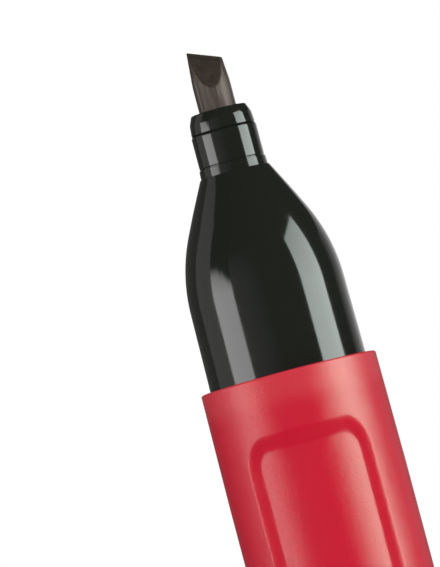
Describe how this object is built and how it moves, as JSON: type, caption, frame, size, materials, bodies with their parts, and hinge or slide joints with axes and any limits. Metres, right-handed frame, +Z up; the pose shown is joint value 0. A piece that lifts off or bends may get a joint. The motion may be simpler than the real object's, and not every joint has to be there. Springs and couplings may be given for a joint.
{
  "type": "permanent marker",
  "caption": "Large chisel-tip permanent marker with a red barrel, a black bottle-shaped nose and its clip cap pushed onto the tail, standing nib up on the cap.",
  "frame": {"origin": "centre of the flat closed end of the cap, which the marker stands on", "axes": "+Z up the marker's axis to the nib; -Y is the front, where the sunk panel of the barrel faces; +X is the side with the cap's clip, and the longer corner of the nib is at -X"},
  "size_m": [0.0279, 0.0234, 0.1767],
  "materials": {
    "barrel": "satin red moulded polypropylene",
    "nose": "glossy black moulded plastic",
    "ferrule": "glossy black moulded plastic",
    "nib": "bonded felt, soaked with black ink",
    "reservoir": "bonded fibre, soaked with black ink",
    "wrap": "clear film",
    "breather": "natural polyethylene tube",
    "plug": "glossy black moulded plastic",
    "cap": "glossy black moulded plastic",
    "liner": "natural polyethylene",
    "clip": "glossy black moulded plastic"
  },
  "bodies": {
    "cap": {"cap_shell": "cap", "cap_liner": "liner"},
    "marker": {"barrel_shell": "barrel", "nose_section": "nose", "nib_ferrule": "ferrule", "nib": "nib", "reservoir_core": "reservoir", "reservoir_wrap": "wrap", "breather_tube": "breather", "tail_plug": "plug"},
    "clip": {"cap_clip": "clip"}
  },
  "joints": [
    {"name": "cap_pull", "type": "slide", "parent": "cap", "child": "marker", "axis": [0, 0, 1], "range_m": [0, 0.03]},
    {"name": "clip_flex", "type": "hinge", "parent": "cap", "child": "clip", "pos_m": [0.01393, 0, 0.00575], "axis": [0, 1, 0], "range_deg": [0, 5], "stiffness_Nm_per_rad": 1}
  ]
}
